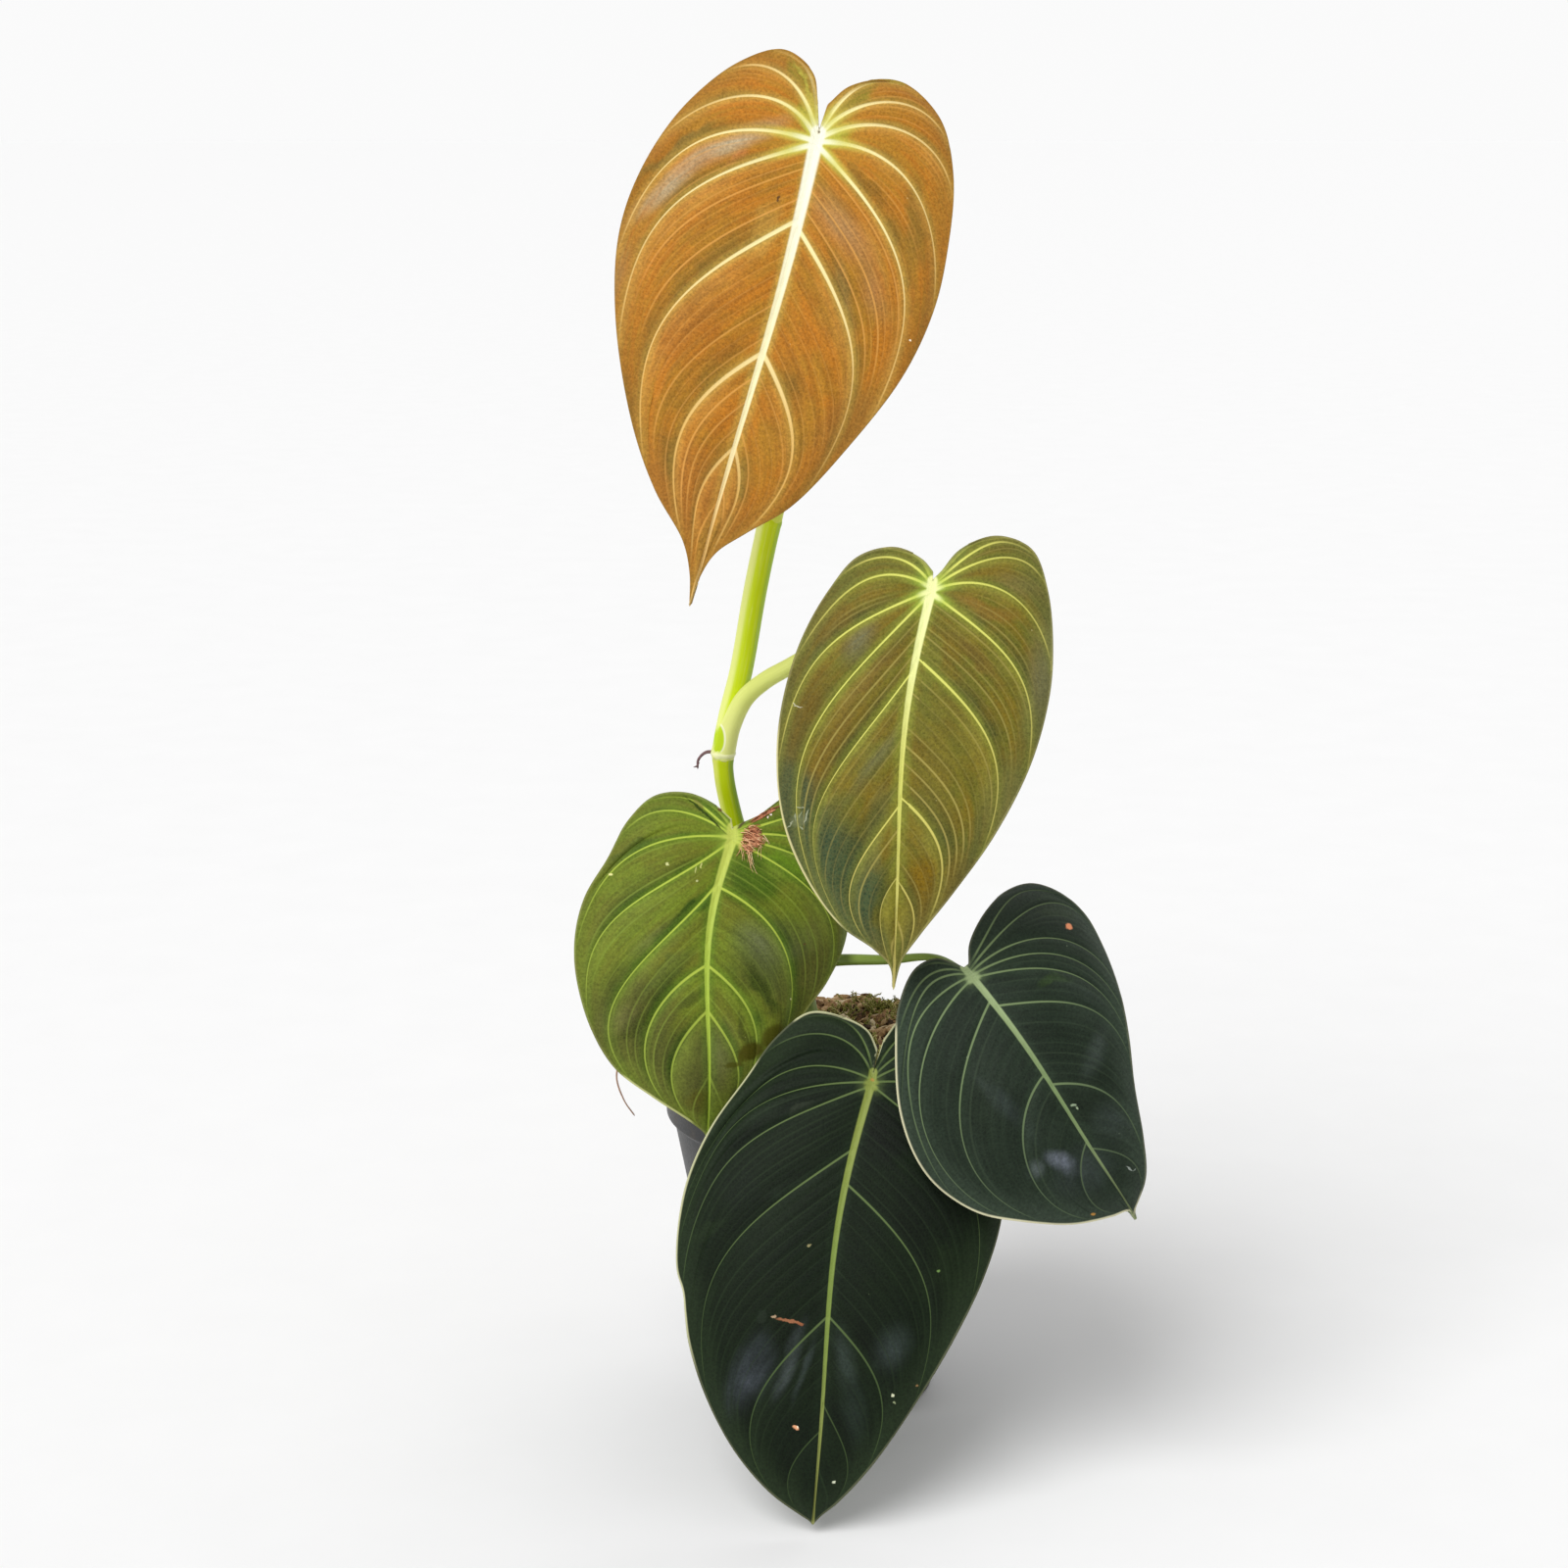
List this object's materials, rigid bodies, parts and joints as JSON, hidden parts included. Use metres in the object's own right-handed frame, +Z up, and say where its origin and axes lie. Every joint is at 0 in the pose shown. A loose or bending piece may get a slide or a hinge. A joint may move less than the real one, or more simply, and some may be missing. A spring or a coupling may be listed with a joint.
{
  "type": "potted climbing philodendron with velvet leaves",
  "caption": "Young climbing aroid with hanging heart-shaped velvet leaves on one upright stem, rooted in a small round nursery pot.",
  "frame": {"origin": "middle of the flat pad under the pot, on the surface that the pot stands on", "axes": "+Z up along the plant's height, -Y to the front that the leaves face, +X to the viewer's right"},
  "size_m": [0.149, 0.1446, 0.3721],
  "materials": {
    "pot_black": "satin",
    "potting_mix": "matte",
    "roots_pale": "matte",
    "stem_green": "satin",
    "petiole_green": "satin",
    "sheath_tan": "satin",
    "root_brown": "matte",
    "blade_1": "matte",
    "blade_2": "matte",
    "blade_3": "matte",
    "blade_4": "matte",
    "blade_5": "matte"
  },
  "bodies": {
    "root": {"pot": "pot_black", "potting_mix": "potting_mix", "roots": "roots_pale", "main_stem": "stem_green", "leaf_blade_1": "blade_1", "petiole_1": "petiole_green", "leaf_blade_2": "blade_2", "petiole_2": "petiole_green", "leaf_blade_3": "blade_3", "petiole_3": "petiole_green", "leaf_blade_4": "blade_4", "petiole_4": "petiole_green", "leaf_blade_5": "blade_5", "petiole_5": "petiole_green", "growing_tip": "sheath_tan", "aerial_root_1": "root_brown", "aerial_root_2": "root_brown"}
  },
  "joints": []
}
